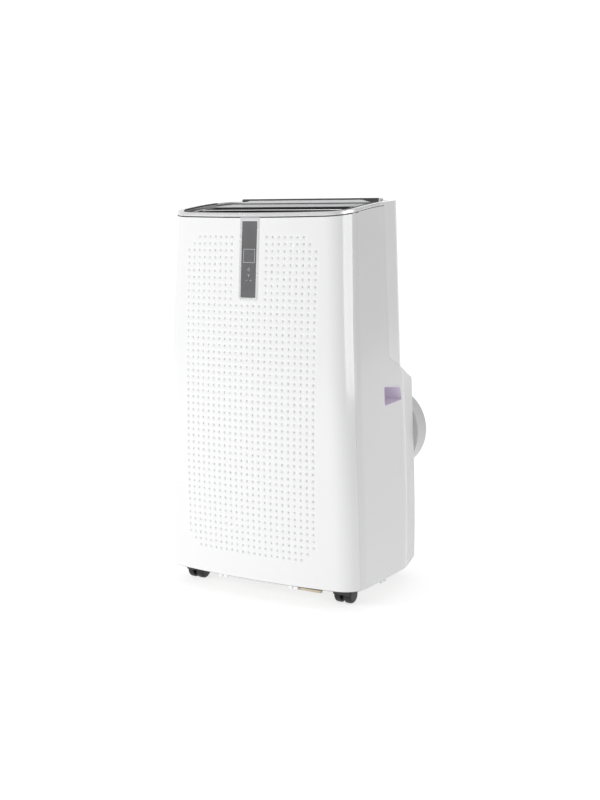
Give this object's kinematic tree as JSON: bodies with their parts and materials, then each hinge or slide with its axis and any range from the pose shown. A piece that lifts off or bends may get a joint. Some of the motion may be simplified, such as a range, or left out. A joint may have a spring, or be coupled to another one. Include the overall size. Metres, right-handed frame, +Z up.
{
  "type": "portable air conditioner",
  "caption": "Upright mobile cooling unit on swivel casters: dimpled front with touch strip, top air outlet with tilting blade, removable filters and rear hose outlet.",
  "frame": {"origin": "on the floor, under the middle of the bounding box", "axes": "+Z up, +X to the right seen from the front, -Y towards the front panel"},
  "size_m": [0.421, 0.36, 0.719],
  "materials": {
    "white_gloss": "glossy",
    "silver_trim": "satin",
    "deck_grey": "satin",
    "display_glass": "glossy",
    "circuit_board": "matte",
    "cup_grey": "satin",
    "hub_grey": "satin",
    "black_plastic": "satin",
    "caster_tyre": "matte",
    "filter_mesh": "woven",
    "base_plastic": "matte",
    "tan_bar": "matte",
    "rubber": "matte",
    "sheet_steel": "zinc",
    "coil_alloy": "fins",
    "black_steel": "satin",
    "copper": "drawn"
  },
  "bodies": {
    "cabinet": {"accumulator": "black_steel", "base_pan": "base_plastic", "cold_blower_housing": "base_plastic", "cold_blower_motor": "sheet_steel", "compressor": "black_steel", "compressor_mounts": "rubber", "condenser": "coil_alloy", "control_box": "base_plastic", "cord_gland": "black_plastic", "display_bezel": "silver_trim", "display_board": "circuit_board", "display_lens": "display_glass", "drain_spout": "hub_grey", "drip_tray": "base_plastic", "evaporator": "coil_alloy", "exhaust_collar": "hub_grey", "exhaust_duct": "base_plastic", "float_stem": "base_plastic", "front_panel": "white_gloss", "handle_cup_left": "cup_grey", "handle_cup_right": "cup_grey", "hot_blower_housing": "base_plastic", "hot_blower_motor": "sheet_steel", "inner_frame": "sheet_steel", "louvre_motor": "sheet_steel", "outlet_chute": "black_plastic", "panel_screws": "sheet_steel", "rear_housing_lower": "white_gloss", "rear_housing_upper": "white_gloss", "refrigerant_pipes": "copper", "shell_clips": "white_gloss", "side_panel_left": "white_gloss", "side_panel_right": "white_gloss", "top_deck": "deck_grey", "top_rim": "silver_trim", "transport_bar": "tan_bar"},
    "louvre": {"louvre_blade": "white_gloss"},
    "vane_link_bar": {"vane_link": "black_plastic"},
    "upper_filter": {"upper_filter_frame": "deck_grey", "upper_filter_mesh": "filter_mesh"},
    "lower_filter": {"lower_intake_cover": "white_gloss", "lower_filter_mesh": "filter_mesh"},
    "hose_connector": {"hose_adapter": "hub_grey"},
    "drain_stopper": {"drain_plug": "rubber"},
    "cold_blower": {"cold_blower_wheel": "base_plastic"},
    "hot_blower": {"hot_blower_wheel": "base_plastic"},
    "water_float": {"level_float": "base_plastic"},
    "vane_1": {"air_vane_1": "black_plastic"},
    "vane_2": {"air_vane_2": "black_plastic"},
    "vane_3": {"air_vane_3": "black_plastic"},
    "vane_4": {"air_vane_4": "black_plastic"},
    "vane_5": {"air_vane_5": "black_plastic"},
    "caster_front_left": {"caster_hood_front_left": "black_plastic"},
    "wheels_front_left": {"caster_wheels_front_left": "caster_tyre"},
    "caster_front_right": {"caster_hood_front_right": "black_plastic"},
    "wheels_front_right": {"caster_wheels_front_right": "caster_tyre"},
    "caster_rear_left": {"caster_hood_rear_left": "black_plastic"},
    "wheels_rear_left": {"caster_wheels_rear_left": "caster_tyre"},
    "caster_rear_right": {"caster_hood_rear_right": "black_plastic"},
    "wheels_rear_right": {"caster_wheels_rear_right": "caster_tyre"}
  },
  "joints": [
    {"name": "louvre_tilt", "type": "hinge", "parent": "cabinet", "child": "louvre", "pos_m": [0, -0.088, 0.686], "axis": [1, 0, 0], "range_deg": [-35, 40]},
    {"name": "upper_filter_slide", "type": "slide", "parent": "cabinet", "child": "upper_filter", "axis": [0, 0, 1], "range_m": [0, 0.26]},
    {"name": "lower_cover_pull", "type": "slide", "parent": "cabinet", "child": "lower_filter", "axis": [0, 1, 0], "range_m": [0, 0.05]},
    {"name": "hose_adapter_pull", "type": "slide", "parent": "cabinet", "child": "hose_connector", "axis": [0, 1, 0], "range_m": [0, 0.04]},
    {"name": "drain_plug_pull", "type": "slide", "parent": "cabinet", "child": "drain_stopper", "axis": [0, 1, 0], "range_m": [0, 0.025]},
    {"name": "cold_blower_spin", "type": "hinge", "parent": "cabinet", "child": "cold_blower", "pos_m": [0, -0.08, 0.54], "axis": [0, 1, 0], "continuous": true},
    {"name": "hot_blower_spin", "type": "hinge", "parent": "cabinet", "child": "hot_blower", "pos_m": [-0.088, 0.04, 0.2], "axis": [0, 1, 0], "continuous": true},
    {"name": "float_rise", "type": "slide", "parent": "cabinet", "child": "water_float", "axis": [0, 0, 1], "range_m": [0, 0.012]},
    {"name": "vane_1_swing", "type": "hinge", "parent": "cabinet", "child": "vane_1", "pos_m": [-0.112, -0.095, 0.668], "axis": [0, 1, 0], "range_deg": [-25, 25]},
    {"name": "vane_2_swing", "type": "hinge", "parent": "cabinet", "child": "vane_2", "pos_m": [-0.056, -0.095, 0.668], "axis": [0, 1, 0], "range_deg": [-25, 25]},
    {"name": "vane_3_swing", "type": "hinge", "parent": "cabinet", "child": "vane_3", "pos_m": [0, -0.095, 0.668], "axis": [0, 1, 0], "range_deg": [-25, 25]},
    {"name": "vane_4_swing", "type": "hinge", "parent": "cabinet", "child": "vane_4", "pos_m": [0.056, -0.095, 0.668], "axis": [0, 1, 0], "range_deg": [-25, 25]},
    {"name": "vane_5_swing", "type": "hinge", "parent": "cabinet", "child": "vane_5", "pos_m": [0.112, -0.095, 0.668], "axis": [0, 1, 0], "range_deg": [-25, 25]},
    {"name": "vane_link_slide", "type": "slide", "parent": "cabinet", "child": "vane_link_bar", "axis": [1, 0, 0], "range_m": [-0.0052, 0.0052]},
    {"name": "caster_swivel_front_left", "type": "hinge", "parent": "cabinet", "child": "caster_front_left", "pos_m": [-0.16, -0.114, 0.04], "axis": [0, 0, 1], "continuous": true},
    {"name": "caster_roll_front_left", "type": "hinge", "parent": "caster_front_left", "child": "wheels_front_left", "pos_m": [-0.16, -0.104, 0.016], "axis": [1, 0, 0], "continuous": true},
    {"name": "caster_swivel_front_right", "type": "hinge", "parent": "cabinet", "child": "caster_front_right", "pos_m": [0.16, -0.114, 0.04], "axis": [0, 0, 1], "continuous": true},
    {"name": "caster_roll_front_right", "type": "hinge", "parent": "caster_front_right", "child": "wheels_front_right", "pos_m": [0.16, -0.104, 0.016], "axis": [1, 0, 0], "continuous": true},
    {"name": "caster_swivel_rear_left", "type": "hinge", "parent": "cabinet", "child": "caster_rear_left", "pos_m": [-0.138, 0.092, 0.04], "axis": [0, 0, 1], "continuous": true},
    {"name": "caster_roll_rear_left", "type": "hinge", "parent": "caster_rear_left", "child": "wheels_rear_left", "pos_m": [-0.138, 0.102, 0.016], "axis": [1, 0, 0], "continuous": true},
    {"name": "caster_swivel_rear_right", "type": "hinge", "parent": "cabinet", "child": "caster_rear_right", "pos_m": [0.138, 0.092, 0.04], "axis": [0, 0, 1], "continuous": true},
    {"name": "caster_roll_rear_right", "type": "hinge", "parent": "caster_rear_right", "child": "wheels_rear_right", "pos_m": [0.138, 0.102, 0.016], "axis": [1, 0, 0], "continuous": true}
  ],
  "couplings": [
    {"joint": "vane_1_swing", "follows": "vane_link_slide", "rad_per_m": -83.333},
    {"joint": "vane_2_swing", "follows": "vane_link_slide", "rad_per_m": -83.333},
    {"joint": "vane_3_swing", "follows": "vane_link_slide", "rad_per_m": -83.333},
    {"joint": "vane_4_swing", "follows": "vane_link_slide", "rad_per_m": -83.333},
    {"joint": "vane_5_swing", "follows": "vane_link_slide", "rad_per_m": -83.333}
  ]
}
